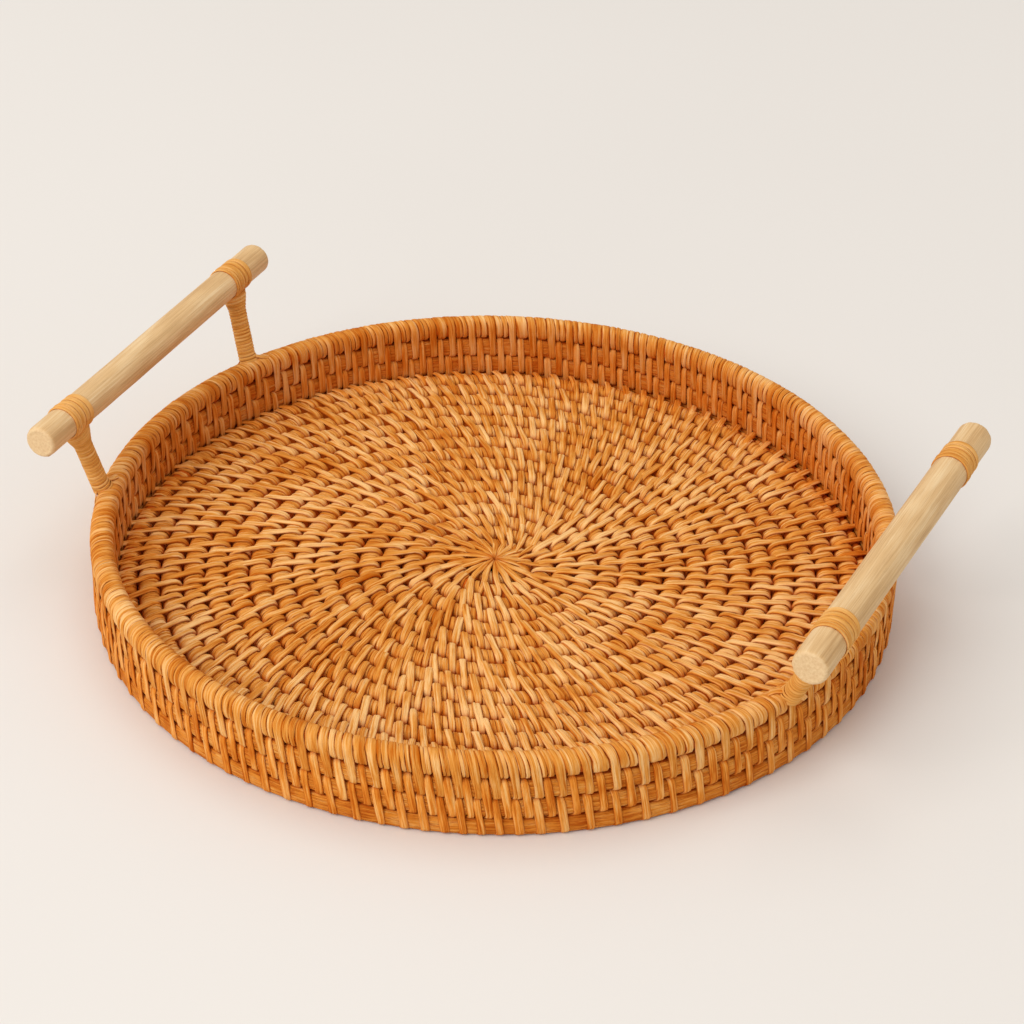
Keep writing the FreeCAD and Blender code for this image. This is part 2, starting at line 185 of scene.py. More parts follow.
def unit(vectors):
    """Each row scaled to length one."""
    return vectors / np.maximum(np.linalg.norm(vectors, axis=-1, keepdims=True), 1e-9)


def smooth(low, high, values):
    """0 below low, 1 above high, and an even turn between."""
    share = np.clip((values - low) / (high - low), 0, 1)
    return share * share * (3 - 2 * share)


def grid_faces(rings, around, closed=False):
    """Quads between neighbouring rings of points; unless closed, the end rings are capped."""
    faces = []
    for ring in range(rings if closed else rings - 1):
        here, there = ring * around, ((ring + 1) % rings) * around
        for corner in range(around):
            after = (corner + 1) % around
            faces.append([here + corner, here + after, there + after, there + corner])
    if not closed:
        faces.append(list(range(around))[::-1])
        faces.append([(rings - 1) * around + corner for corner in range(around)])
    return faces


def sweep(gathered, path, normal, half_width, thickness, tone, shade, seed, start=0.0, closed=False):
    """A strip of peel along a path; its flat side lies on the path, its crown along the normal.

    half_width, thickness, tone and shade are numbers, or have a value for each point of the path.
    `seed` gives the strip a grain of its own, and `start` is where it begins in that grain.
    """
    sizes = (half_width, thickness, tone, shade)
    half_width, thickness, tone, shade = (np.broadcast_to(size, len(path)) for size in sizes)
    if closed:
        tangent = np.roll(path, -1, axis=0) - np.roll(path, 1, axis=0)
    else:
        tangent = np.gradient(path, axis=0)
    side = unit(np.cross(normal, tangent))
    rings, around = len(path), len(SECTION)
    across = SECTION[None, :, 0] * half_width[:, None]
    crown = SECTION[:, 1] * (1 + rng.normal(0, STRIP_RIDGES, around))
    height = crown[None, :] * thickness[:, None]
    points = path[:, None] + side[:, None] * across[..., None] + normal[:, None] * height[..., None]
    steps = np.linalg.norm(np.diff(path, axis=0), axis=1)
    along = start + np.concatenate([[0], np.cumsum(steps)])
    grain = (along[:, None], across, seed)
    look = (tone[:, None], shade[:, None], np.abs(SECTION[:, 0]))
    gathered.add(points, grid_faces(rings, around, closed), grain, look)


# ---- the floor's spiral
def coil_radius(turned):
    """Distance of the floor's cane from the Z axis; the coil is made of half circles."""
    half = int(turned // math.pi)
    centre_x = -PITCH / 4 if half % 2 == 0 else PITCH / 4
    arc_radius = PITCH / 2 * (half + 1)
    return centre_x * math.cos(turned) + math.sqrt(arc_radius**2 - (centre_x * math.sin(turned)) ** 2)


# ---- loops of peel round the canes
def support(shape, angles):
    """Where a superellipse (centre, rho half, z half, squareness) faces each angle."""
    centre, half_rho, half_z, square = shape
    power = square / (square - 1)
    cosine, sine = np.cos(angles), np.sin(angles)
    out = (np.abs(half_rho * cosine) ** power + np.abs(half_z * sine) ** power) ** (1 / power)
    rho = out ** (1 - power) * np.abs(half_rho * cosine) ** (power - 1) * half_rho * np.sign(cosine)
    z = out ** (1 - power) * np.abs(half_z * sine) ** (power - 1) * half_z * np.sign(sine)
    points = np.stack([rho, z], axis=1) + np.array(centre, float)
    reach = out + np.array(centre, float) @ np.stack([cosine, sine])
    return points, reach


def outline(low, high, steps, bulge):
    """Once round two shapes, in a plane through the Z axis.

    Gives points and normals as (rho, z) pairs. The way round is up on the inner side, over the
    top, and down on the outer side. `bulge` is the rise of the free stretches between the shapes.
    """
    angles = UNDERSIDE - np.linspace(0, TAU, OUTLINE_SAMPLES)
    low_points, low_reach = support(low, angles)
    high_points, high_reach = support(high, angles)
    upper = high_reach > low_reach + 1e-9
    points = np.where(upper[:, None], high_points, low_points)
    normals = np.stack([np.cos(angles), np.sin(angles)], axis=1)
    switches = np.nonzero(np.diff(upper.astype(int)))[0]
    for switch in switches[::-1]:
        share = np.linspace(0, 1, STRETCH_SAMPLES)[1:-1, None]
        start, end = points[switch], points[switch + 1]
        normal = unit(normals[switch] + normals[switch + 1])
        line = start + (end - start) * share + normal * bulge * 4 * share * (1 - share)
        points = np.insert(points, switch + 1, line, axis=0)
        normals = np.insert(normals, switch + 1, np.repeat(normal[None], len(line), axis=0), axis=0)
    lengths = np.linalg.norm(np.diff(points, axis=0), axis=1)
    turning = np.linalg.norm(np.diff(normals, axis=0), axis=1)
    shares = lengths / lengths.sum() + TURN_WEIGHT * turning / turning.sum()
    measure = np.concatenate([[0], np.cumsum(shares)])
    wanted = np.linspace(0, measure[-1], steps + 1)
    points = np.stack([np.interp(wanted, measure, points[:, axis]) for axis in (0, 1)], axis=1)
    normals = np.stack([np.interp(wanted, measure, normals[:, axis]) for axis in (0, 1)], axis=1)
    return points, unit(normals)


def into_space(flat_points, flat_normals, angle):
    """(rho, z) pairs placed at the given angles round the Z axis."""
    outward = np.stack([np.cos(angle), np.sin(angle), np.zeros_like(angle)], axis=1)
    path = outward * flat_points[:, :1]
    path[:, 2] = flat_points[:, 1]
    normal = outward * flat_normals[:, :1]
    normal[:, 2] = flat_normals[:, 1]
    return path, normal


def hang_loop(flat_points, flat_normals, angle):
    """A loop of the wall: it leans one way down the outside and the other way down the inside."""
    across = np.clip((flat_points[:, 0] - RING) / CANE, -1, 1)
    down = flat_points[:, 1].max() - flat_points[:, 1]
    lean = np.where(across > 0, OUTER_LEAN, -INNER_LEAN) * np.abs(across)
    return into_space(flat_points, flat_normals, angle + (CREST_LEAN * across + lean * down) / RING)


def lay_loop(flat_points, flat_normals, row, start_angle, middle_angle, end_angle, lean):
    """A loop of the floor, moving on round the tray.

    The angle goes from start to end and passes the middle one half way. `lean` is how far the
    loop gets ahead for each millimetre outwards; `row` is the distance where it is in its place.
    """
    steps = np.linalg.norm(np.diff(flat_points, axis=0), axis=1)
    share = np.concatenate([[0], np.cumsum(steps)])
    share /= share[-1]
    angle = np.where(
        share < 0.5,
        start_angle + (middle_angle - start_angle) * share * 2,
        middle_angle + (end_angle - middle_angle) * (share * 2 - 1),
    )
    angle = angle + lean * (flat_points[:, 0] - row) / np.maximum(flat_points[:, 0], NEAR_MIDDLE)
    return into_space(flat_points, flat_normals, angle)


def strip_tone(mean=0.0):
    """A strip's own tone, from -1 for dark to 1 for light."""
    return float(np.clip(rng.normal(mean, TONE_SPREAD), -1, 1))


class Loop:
    """One turn of the strip: where it lies, the two sections it goes round, and its looks."""

    steps = 16
    bulge = 0.2
    lean = 0.0
    thick = PEEL
    # strength of the painted shade where the loop dips between rows
    shade = 1.0
    pinch = 0.12  # narrower where it dips between rows
    sunk = 0.0  # pressed this far into the row on its outer side
    lying = True  # the rows lie side by side, not one on the other
    crown = False  # a wrap of the rim: its top is in the open
    fan = False  # its inner end starts between the middle's strips

    def __init__(self, angle, width, low, high, tone=0.0, **looks):
        self.angle, self.width, self.low, self.high = angle, width, low, high
        self.tone = strip_tone() + tone
        vars(self).update(looks)


def loop_shade(loop, flat_normals):
    """How much painted shade each point gets, from 0 to 1: by how deep it lies between two rows, and on
    the wall's inside.
    """
    along = flat_normals[:, 0] if loop.lying else flat_normals[:, 1]
    hidden = smooth(0.62, 1.0, np.abs(along))
    if loop.crown:
        hidden = hidden * (along < 0)
    inside = 0.0 if loop.lying else INNER_SHADE * smooth(0.1, 0.8, -flat_normals[:, 0])
    return np.maximum(hidden * loop.shade, inside)


def chain(gathered, loops, seed):
    """One long strip through all the loops, each joined to the next."""
    parts = []
    for number, loop in enumerate(loops):
        before, after = loops[max(number - 1, 0)], loops[min(number + 1, len(loops) - 1)]
        flat_points, flat_normals = outline(loop.low, loop.high, loop.steps, loop.bulge)
        if loop.lying:
            path, normal = lay_loop(
                flat_points, flat_normals, loop.high[0][0], (before.angle + loop.angle) / 2,
                loop.angle, (loop.angle + after.angle) / 2, loop.lean,
            )
        else:
            path, normal = hang_loop(flat_points, flat_normals, loop.angle)
        hidden = loop_shade(loop, flat_normals)
        if loop.sunk:
            path -= normal * (loop.sunk * smooth(0.1, 0.7, flat_normals[:, 0]))[:, None]
        share = np.linspace(0, 1, len(path))
        tone = np.interp(  # its own along the middle, turning into the next strip's at the ends
            share, [0, 0.15, 0.85, 1],
            [(before.tone + loop.tone) / 2, loop.tone, loop.tone, (after.tone + loop.tone) / 2],
        )
        wobble = 1 + 0.1 * np.sin(share * 2 * TAU + rng.uniform(0, TAU))
        wobble += 0.05 * np.sin(share * 5 * TAU + rng.uniform(0, TAU))
        width = loop.width * wobble * (1 - loop.pinch * hidden)
        if loop.crown:
            width = width * (1 - RIM_TAPER * smooth(RIM_Z, UPPER_Z, flat_points[:, 1]))
        if loop.fan:  # it leaves room for the strips on its two sides
            width = np.minimum(width, np.maximum(FAN_LEAST, flat_points[:, 0] * TAU / ROSETTE - FAN_ROOM))
        thick = np.full(len(path), loop.thick * rng.uniform(0.88, 1.14))  # one value for the loop
        end = len(path) if loop is loops[-1] else -1  # the next loop begins where this one ends
        parts.append([values[:end] for values in (path, normal, width / 2, thick, tone, hidden)])
    columns = [np.concatenate(values) for values in zip(*parts)]
    sweep(gathered, *columns, seed, start=rng.uniform(0, 500))


def wrap_singly(gathered, loops):
    """Strips that go round only once, each with a grain of its own."""
    for loop in loops:
        chain(gathered, [loop], rng.uniform(60, 90))


# ---- where the stitches are
def even_out(angles, rounds, share):
    """Moves each angle part of the way to the middle of its neighbours; the ends stay."""
    angles = np.array(angles)
    for _ in range(rounds):
        angles[1:-1] += share * ((angles[:-2] + angles[2:]) / 2 - angles[1:-1])
    return angles.tolist()


def floor_lean(turned):
    """How much the floor's strips lean: most at the front and back, least near the handles."""
    return FLOOR_LEAN - LEAN_SWING * math.cos(2 * turned + LEAN_PHASE)


def stitch_shift(turned):
    """How far round a stitch lies from its parent, to stand in the middle between two of them."""
    return PERIOD / 2 + PITCH * floor_lean(turned)


def next_turn(parents, before):
    """The stitches of the next turn of the coil, beside those of the turn inside it.

    `before` is the last stitch already placed; the first gap is filled like the others.
    """
    children = [turned + TAU + stitch_shift(turned) / coil_radius(turned + TAU) for turned in parents]
    angles = [before] + [turned for turned in children if turned > before]
    radius = coil_radius((angles[0] + angles[-1]) / 2)
    wanted = int(round((angles[-1] - angles[0]) * radius / PERIOD))
    while len(angles) <= wanted:
        gaps = np.diff(angles) * rng.uniform(0.93, 1.07, len(angles) - 1)  # not always the widest
        widest = int(np.argmax(gaps))
        angles.insert(widest + 1, (angles[widest] + angles[widest + 1]) / 2)
    step = PERIOD / radius
    return [angle + rng.normal(0, 0.04) * step for angle in even_out(angles, 2, 0.4)[1:]]


def floor_turns():
    """Winding angles of the floor's long stitches, a list for each turn from the second on."""
    spokes = [TAU + TAU * (number + 0.5) / ROSETTE for number in range(ROSETTE)]
    parents = [turned + rng.normal(0, 0.045) for turned in spokes]
    turns = {1: parents}
    for turn in range(2, int(FLOOR_TURNS) + 1):
        parents = next_turn(parents, parents[-1])
        turns[turn] = [turned for turned in parents if turned < LAST_ANGLE]
    return turns


def with_shorts(stitches, first, last):
    """The loops of one turn of the coil in order: long stitches, with short wraps between them."""
    loops = []
    stops = [first] + [a for a in stitches if first < a < last] + [last]
    for number, (low, high) in enumerate(zip(stops, stops[1:])):
        if number:
            loops.append(long_loop(low))
        radius = coil_radius(low)
        low_edge = low + (LONG_WIDTH / 2 / radius if number else 0)
        high_edge = high - (LONG_WIDTH / 2 / radius if number + 2 < len(stops) else 0)
        room = (high_edge - low_edge) * radius
        count = int(round(room / SHORT_SHARE))
        for step in range(count):
            turned = low_edge + (high_edge - low_edge) * (step + 0.5) / count
            loops.append(short_loop(turned, room / count * SHORT_FIT, coil_radius(turned), CANE))
    return loops


def long_loop(turned):
    """A stitch over a turn of the coil and, on top of its short wraps, the turn inside it."""
    over = SEAT + PEEL + rng.uniform(0.0, 0.45)  # height above the inner turn's cane
    level = SEAT + rng.uniform(0.15, 0.5)  # and above its own
    inner = ((coil_radius(turned - TAU), FLOOR_Z), CANE + 0.2, CANE + over, FLAT)
    outer = ((coil_radius(turned), FLOOR_Z), CANE, CANE + level, FLAT)
    # tone=0.4 paints the raised long stitch lighter than the short wraps: painted light
    return Loop(
        turned, LONG_WIDTH * rng.uniform(0.88, 1.1), inner, outer, steps=20,
        bulge=rng.uniform(-0.45, 0.1), lean=floor_lean(turned) + rng.normal(0, 0.07), tone=0.4,
        thick=LONG_PEEL, pinch=0.3, fan=turned < 3 * TAU,
    )


def short_loop(turned, width, radius, thickness, steps=16):
    """A wrap round one turn of the coil, which is `thickness` in radius there."""
    at = ((radius, FLOOR_Z), thickness, thickness + SEAT, FLAT)
    # tone=-0.3 paints the lower short wraps darker than the long stitches: painted shade
    return Loop(
        turned, width, at, at, steps=steps, lean=floor_lean(turned) + SHORT_LEAN + rng.normal(0, 0.04),
        pinch=0.05, thick=SHORT_PEEL, tone=-0.3,
    )


# ---- materials
class Nodes:
    """A material's node tree, with short ways to add and join nodes."""

    def __init__(self, name):
        self.material = bpy.data.materials.new(name)
        self.material.use_nodes = True
        self.tree = self.material.node_tree
        self.shader = self.tree.nodes["Principled BSDF"]

    def add(self, kind, **settings):
        node = self.tree.nodes.new(kind)
        for key, value in settings.items():
            setattr(node, key, value)
        return node

    def join(self, source, target):
        self.tree.links.new(source, target)

    def grain(self):
        """Millimetres along and across the grain, and a number of the strip's own."""
        return self.add("ShaderNodeAttribute", attribute_name="grain").outputs["Vector"]

    def look(self):
        """The strip's tone, how deep the place lies (which sets its painted shade), and how near it is to
        the strip's edge.
        """
        node = self.add("ShaderNodeAttribute", attribute_name="look")
        parts = self.add("ShaderNodeSeparateXYZ")
        self.join(node.outputs["Vector"], parts.inputs[0])
        return parts.outputs

    def place(self):
        """The place in the object's own space, in metres."""
        return self.add("ShaderNodeTexCoord").outputs["Object"]

    def noise(self, vector, scale, detail=3.0, roughness=0.55):
        """Noise of the vector stretched by three numbers."""
        mapping = self.add("ShaderNodeMapping")
        mapping.inputs["Scale"].default_value = scale
        self.join(vector, mapping.inputs["Vector"])
        node = self.add("ShaderNodeTexNoise")
        node.inputs["Scale"].default_value = 1.0
        node.inputs["Detail"].default_value = detail
        node.inputs["Roughness"].default_value = roughness
        self.join(mapping.outputs[0], node.inputs["Vector"])
        return node.outputs["Fac"]

    def math(self, operation, first, second=None, clamp=False):
        node = self.add("ShaderNodeMath", operation=operation, use_clamp=clamp)
        for socket, value in zip(node.inputs, (first, second)):
            if value is None:
                continue
            if isinstance(value, (int, float)):
                socket.default_value = value
            else:
                self.join(value, socket)
        return node.outputs[0]

    def blend(self, parts):
        """Noises added up round one half, each with its weight."""
        total = 0.5
        for part, weight in parts:
            swing = self.math("MULTIPLY", self.math("SUBTRACT", part, 0.5), weight)
            total = self.math("ADD", total, swing)
        return total

    def ramp(self, factor, stops):
        """A colour ramp; stops are (position, (red, green, blue))."""
        node = self.add("ShaderNodeValToRGB")
        elements = node.color_ramp.elements
        while len(elements) < len(stops):
            elements.new(0.5)
        for element, (position, colour) in zip(elements, stops):
            element.position = position
            element.color = (*colour, 1)
        self.join(factor, node.inputs["Fac"])
        return node.outputs["Color"]

    def mix(self, factor, first, second, blend="MIX"):
        node = self.add("ShaderNodeMix", data_type="RGBA", blend_type=blend)
        sockets = (node.inputs[number] for number in (0, 6, 7))
        for socket, value in zip(sockets, (factor, first, second)):
            if isinstance(value, tuple):
                socket.default_value = (*value, 1)
            elif isinstance(value, (int, float)):
                socket.default_value = value
            else:
                self.join(value, socket)
        return node.outputs[2]

    def range(self, value, low, high, to_low, to_high):
        node = self.add("ShaderNodeMapRange")
        for socket, number in zip(list(node.inputs)[1:5], (low, high, to_low, to_high)):
            socket.default_value = number
        self.join(value, node.inputs[0])
        return node.outputs[0]

    def finish(self, colour, rough, height, strength, distance, specular=0.05):
        """The material, with its colour, roughness and relief joined to the shader."""
        bump = self.add("ShaderNodeBump")
        bump.inputs["Strength"].default_value = strength
        bump.inputs["Distance"].default_value = distance
        self.join(height, bump.inputs["Height"])
        self.join(bump.outputs[0], self.shader.inputs["Normal"])
        self.join(colour, self.shader.inputs["Base Color"])
        self.join(rough, self.shader.inputs["Roughness"])
        self.shader.inputs["Specular IOR Level"].default_value = specular
        return self.material


def peel_material(name, colours, deep):
    """Rattan peel: fibres along the strip, tone by strip, and painted shade where it dips between rows
    and along its edges.
    """
    nodes = Nodes(name)
    vector, place = nodes.grain(), nodes.place()
    tone, depth, side = nodes.look()
    fibre = nodes.noise(vector, (0.045, 1.0, 7.3), 4.0, 0.65)
    fine = nodes.noise(vector, (0.08, 1.9, 3.1), 3.0, 0.6)
    patch = nodes.noise(vector, (0.07, 0.22, 5.7), 2.0, 0.5)
    broad = nodes.noise(place, (26.0, 26.0, 26.0), 2.0, 0.5)
    amount = nodes.blend(((fibre, 1.9), (fine, 1.2), (patch, 0.9), (broad, 0.7)))
    amount = nodes.math("ADD", amount, nodes.math("MULTIPLY", tone, 0.17), clamp=True)
    colour = nodes.ramp(amount, list(zip((0.1, 0.5, 0.9), colours)))
    lines = nodes.range(fine, 0.57, 0.72, 0.0, 0.6)
    colour = nodes.mix(lines, colour, tuple(channel * 0.7 for channel in colours[0]))
    # painted shade along the strip's edges, where it meets its neighbours, and where it dips between rows
    edge = nodes.range(side, 0.8, 1.0, 0.0, 0.6)
    hidden = nodes.math("MAXIMUM", nodes.math("MULTIPLY", depth, 0.85), edge, clamp=True)
    colour = nodes.mix(hidden, colour, deep)
    rough = nodes.range(fine, 0.3, 0.7, 0.5, 0.7)
    height = nodes.math("ADD", nodes.math("MULTIPLY", fibre, 0.5), nodes.math("MULTIPLY", fine, 0.5))
    return nodes.finish(colour, rough, height, 0.9, 0.0008)


def cane_material(name, colours, deep):
    """Bare cane: long fibres along it, with painted shade towards the rows above and below and on the
    wall's inside.
    """
    nodes = Nodes(name)
    vector, depth = nodes.grain(), nodes.look()[1]
    fibre = nodes.noise(vector, (0.06, 1.0, 1.0), 4.0, 0.65)
    fine = nodes.noise(vector, (0.14, 1.8, 1.0), 3.0, 0.6)
    patch = nodes.noise(vector, (0.09, 0.1, 1.0), 2.0, 0.5)
    amount = nodes.blend(((fibre, 1.7), (fine, 0.8), (patch, 1.2)))
    colour = nodes.ramp(amount, list(zip((0.1, 0.5, 0.9), colours)))
    lines = nodes.range(fine, 0.52, 0.66, 0.0, 0.75)
    colour = nodes.mix(lines, colour, deep)
    # painted shade where the cane lies deep between rows and on the wall's inside
    colour = nodes.mix(depth, colour, deep)
    rough = nodes.range(fine, 0.3, 0.7, 0.5, 0.7)
    return nodes.finish(colour, rough, nodes.math("ADD", fibre, fine), 0.9, 0.0007)


def core_material(name):
    """Cane that is nearly hidden under its binding, darker than the bare cane as painted shade in the
    gaps where it shows; it has no grain coordinates of its own.
    """
    nodes = Nodes(name)
    place = nodes.place()
    grain = nodes.noise(place, (300.0, 300.0, 1800.0), 4.0, 0.6)
    patch = nodes.noise(place, (60.0, 60.0, 60.0), 2.0, 0.5)
    amount = nodes.math("ADD", nodes.math("MULTIPLY", grain, 0.7), nodes.math("MULTIPLY", patch, 0.3))
    colour = nodes.ramp(amount, [(0.3, (0.48, 0.07, 0.003)), (0.7, (0.62, 0.13, 0.010))])
    return nodes.finish(colour, nodes.range(grain, 0.3, 0.7, 0.6, 0.8), grain, 0.5, 0.0003)


def wood_material(name):
    """Pale peeled wood: fine streaks and pores along the bar, paler and spotted on the cut ends."""
    nodes = Nodes(name)
    vector, depth = nodes.grain(), nodes.look()[1]
    streak = nodes.noise(vector, (0.018, 1.3, 1.0), 4.0, 0.65)
    fine = nodes.noise(vector, (0.05, 4.5, 1.0), 3.0, 0.6)
    patch = nodes.noise(vector, (0.02, 0.12, 1.0), 2.0, 0.5)
    amount = nodes.math("ADD", nodes.math("MULTIPLY", streak, 0.6), nodes.math("MULTIPLY", patch, 0.7))
    amount = nodes.math("SUBTRACT", amount, 0.15, clamp=True)
    colour = nodes.ramp(
        amount,
        [(0.3, (0.54, 0.31, 0.12)), (0.5, (0.74, 0.48, 0.225)), (0.7, (0.88, 0.66, 0.38))],
    )
    pores = nodes.range(fine, 0.55, 0.70, 0.0, 0.6)
    colour = nodes.mix(pores, colour, (0.42, 0.24, 0.10))
    spots = nodes.noise(nodes.place(), (900.0, 900.0, 900.0), 3.0, 0.6)
    cut = nodes.ramp(spots, [(0.35, (0.74, 0.50, 0.26)), (0.65, (0.84, 0.61, 0.34))])
    colour = nodes.mix(depth, colour, cut)
    rough = nodes.range(fine, 0.3, 0.7, 0.5, 0.66)
    height = nodes.math("ADD", streak, fine)
    return nodes.finish(colour, rough, height, 0.45, 0.0003, specular=0.3)


# dark, middle and light; then the painted shade between the strips (for the bare cane, also the colour of
# its fibre lines)
PEEL_COLOURS = ((0.54, 0.13, 0.005), (0.78, 0.32, 0.053), (0.95, 0.57, 0.23))
WALL_COLOURS = ((0.54, 0.115, 0.004), (0.82, 0.29, 0.036), (0.97, 0.54, 0.18))
LASH_COLOURS = ((0.60, 0.22, 0.033), (0.78, 0.37, 0.083), (0.89, 0.51, 0.18))
CANE_COLOURS = ((0.48, 0.10, 0.004), (0.77, 0.26, 0.028), (0.90, 0.44, 0.11))
PEEL_PAINTED_SHADE = (0.52, 0.085, 0.003)
WALL_PAINTED_SHADE = (0.46, 0.062, 0.002)
CANE_GRAIN_AND_SHADE = (0.42, 0.05, 0.001)
peel = peel_material("peel", PEEL_COLOURS, PEEL_PAINTED_SHADE)
wall_peel = peel_material("wall_peel", WALL_COLOURS, WALL_PAINTED_SHADE)
lash_peel = peel_material("lash_peel", LASH_COLOURS, PEEL_PAINTED_SHADE)
cane = cane_material("cane", CANE_COLOURS, CANE_GRAIN_AND_SHADE)
core = core_material("hidden_cane_in_shade")
wood = wood_material("bar_wood")

# ---- the floor
turns = floor_turns()
stitches = sorted(angle for angles in turns.values() for angle in angles)


def spoke(gathered, turned, seed):
    """A strip from the tray's middle over the inner turn and round the second one."""
    end = coil_radius(turned)
    middle = ((2.0, FLOOR_Z), 1.2, CANE + rng.uniform(0.9, 2.0), 2.2)  # the strips pile up here
    outer = ((end, FLOOR_Z), CANE, CANE + SEAT + 0.08, FLAT)
    flat_points, flat_normals = outline(middle, outer, 26, rng.uniform(-0.1, 0.5))
    rho = flat_points[:, 0]
    wave = rng.uniform(0.2, 0.5) * np.sin(rho * rng.uniform(0.3, 0.5) + rng.uniform(0, TAU))
    lean = 0.5 * floor_lean(turned) * (rho - end / 2)
    angle = turned + (wave + lean) * smooth(0, 8, rho) / np.maximum(rho, 4.0)
    path, normal = into_space(flat_points, flat_normals, angle)
    # painted shade: where the strip dips round the second turn, and towards the very middle, where the
    # strips pile up
    hidden = smooth(0.72, 1.0, np.abs(flat_normals[:, 0])) * (rho > 4)
    hidden = np.maximum(hidden, 0.75 * smooth(4.0, 0.8, rho))
    width = np.minimum(3.4 * rng.uniform(0.75, 1.2), 0.3 + rho * TAU / ROSETTE * 0.95)
    width = width * (1 - 0.25 * smooth(end - 7, end + 1, rho))
    tone = strip_tone(0.1)
    sweep(
        gathered, path, normal, width / 2 * (1 - 0.3 * hidden), SPOKE_PEEL, tone, hidden, seed,
        start=rng.uniform(0, 500),
    )


def press(gathered):
    """Nothing may lie below the table: low points are pressed up onto it."""
    for points in gathered.points:
        points[:, 2] = np.maximum(points[:, 2], TABLE_GAP)


def flatten_underside(gathered):
    """The strips lie closer to the cane under the floor than on top of it."""
    free = CANE - 0.2  # below the cane's centre, nothing changes down to this depth
    for points in gathered.points:
        depth = FLOOR_Z - points[:, 2]
        points[:, 2] = FLOOR_Z - np.where(depth > free, free + UNDER_SHARE * (depth - free), depth)


def floor_bindings():
    """A piece for each turn of the coil; the middle's spokes end on the second one."""
    for turn in range(int(FLOOR_TURNS) + 1):
        gathered = Gathered()
        first = max(TAU * turn, COIL_START)
        last = min(TAU * (turn + 1), LAST_ANGLE)
        own = [] if turn < 2 else stitches
        chain(gathered, with_shorts(own, first, last), seed=float(turn))
        if turn == 1:
            for turned in turns[1]:
                spoke(gathered, turned, rng.uniform(20, 60))
        flatten_underside(gathered)
        name = "floor_binding_%02d" % turn if turn else "centre_binding"
        gathered.piece(name, peel, "rattan_peel", name)


floor_bindings()


# ---- the wall
def ring_between(angles):
    """A closed row's stitches, each in the middle between two of the row before it."""
    closed = sorted(angles)
    closed.append(closed[0] + TAU)
    return [(low + high) / 2 for low, high in zip(closed, closed[1:])]


def wall_count(angles, wanted):
    """The angles thinned or filled to the wanted number, then spread out a little."""
    angles = sorted(angles)
    while len(angles) < wanted:
        gaps = np.diff(angles + [angles[0] + TAU])
        widest = int(np.argmax(gaps))
        angles.append(angles[widest] + gaps[widest] / 2)
        angles.sort()
    while len(angles) > wanted:
        gaps = np.diff(angles + [angles[0] + TAU])
        angles.pop(int(np.argmin(gaps)))
    more = 3  # on each side, so that the ring has no ends
    ring = [a - TAU for a in angles[-more:]] + angles + [a + TAU for a in angles[:more]]
    return even_out(ring, 6, 0.5)[more:-more]


outermost = [a % TAU for angles in turns.values() for a in angles if a > LAST_ANGLE - TAU]
edge_angles = wall_count(ring_between(outermost), WALL_STITCHES)


def ring_shape(height, half_height=ROW_HALF, above=0.0):
    """The section of a row of the wall, or of the strip lying on it."""
    return ((RING, height), CANE + above, half_height + above, WALL_FLAT)


def tail_row(turned):
    """The coil's thinned end at a winding angle: its distance from the Z axis and its radius."""
    past = turned - LAST_ANGLE
    half = int(past // math.pi)
    out = PITCH / 8 * (2 * half + 1 - math.cos(past - half * math.pi))
    return coil_radius(LAST_ANGLE) + out, CANE + (TAIL_END - CANE) * past / TAU


def tail_wraps():
    """Short wraps round the coil's thinned end, between the stitches that pass over it."""
    stops = [LAST_ANGLE]
    for angle in sorted((angle - LAST_ANGLE) % TAU for angle in edge_angles):
        radius = tail_row(LAST_ANGLE + angle)[0]
        stops.append(LAST_ANGLE + angle + floor_lean(LAST_ANGLE + angle) * (radius - RING) / radius)
    loops = []
    for low, high in zip(stops, stops[1:]):
        radius, thickness = tail_row((low + high) / 2)
        room = (high - low) * radius - LONG_WIDTH
        count = int(round(room / SHORT_SHARE))
        for step in range(count):
            turned = low + (LONG_WIDTH / 2 + room * (step + 0.5) / count) / radius
            loops.append(short_loop(turned, room / count * SHORT_FIT, radius, thickness, steps=12))
    return loops


def edge_loops():
    """Stitches from the coil's last turn round the corner row."""
    loops = []
    for angle in edge_angles:
        turned = angle + TAU * math.floor((LAST_ANGLE - angle) / TAU)
        inner = ((coil_radius(turned), FLOOR_Z), CANE + 0.1, CANE + SEAT + PEEL + 0.1, FLAT)
        corner = ((RING, BASE_Z), CANE, CANE - 0.3, WALL_FLAT)
        loops.append(Loop(
            angle, LONG_WIDTH, inner, corner, bulge=0.2, sunk=1.0, lean=floor_lean(angle),
            thick=EDGE_PEEL,
        ))
    return loops


def wall_loops(angles, lower, lower_half, upper):
    """Long stitches round two of the wall's rows."""
    return [
        Loop(
            angle, WALL_WIDTH * rng.uniform(0.9, 1.08), ring_shape(lower, lower_half, SEAT),
            ring_shape(upper, above=SEAT), steps=24, bulge=rng.uniform(0.0, 0.2), pinch=0.3,
            lying=False, thick=WALL_PEEL, shade=0.7,
        )
        for angle in angles
    ]


def shifted(angles, distance):
    """The angles moved on round the tray by a distance at the wall."""
    return [angle + distance / RING for angle in angles]


def edge_binding():
    """The stitches round the corner row, with the wraps of the coil's thinned end."""
    gathered = Gathered()
    chain(gathered, edge_loops(), 31.0)
    chain(gathered, tail_wraps(), 32.0)
    flatten_underside(gathered)
    press(gathered)
    # the corner's stitches take the darker, redder wall peel: painted shade of the corner
    gathered.piece("edge_binding", wall_peel, "rattan_peel", "edge_binding")


def wall_bindings(sets):
    """A piece for each set of the wall's stitches; sets are (name, loops)."""
    for name, loops in sets:
        gathered = Gathered()
        wrap_singly(gathered, loops)
        press(gathered)
        gathered.piece(name, wall_peel, "rattan_peel", name)


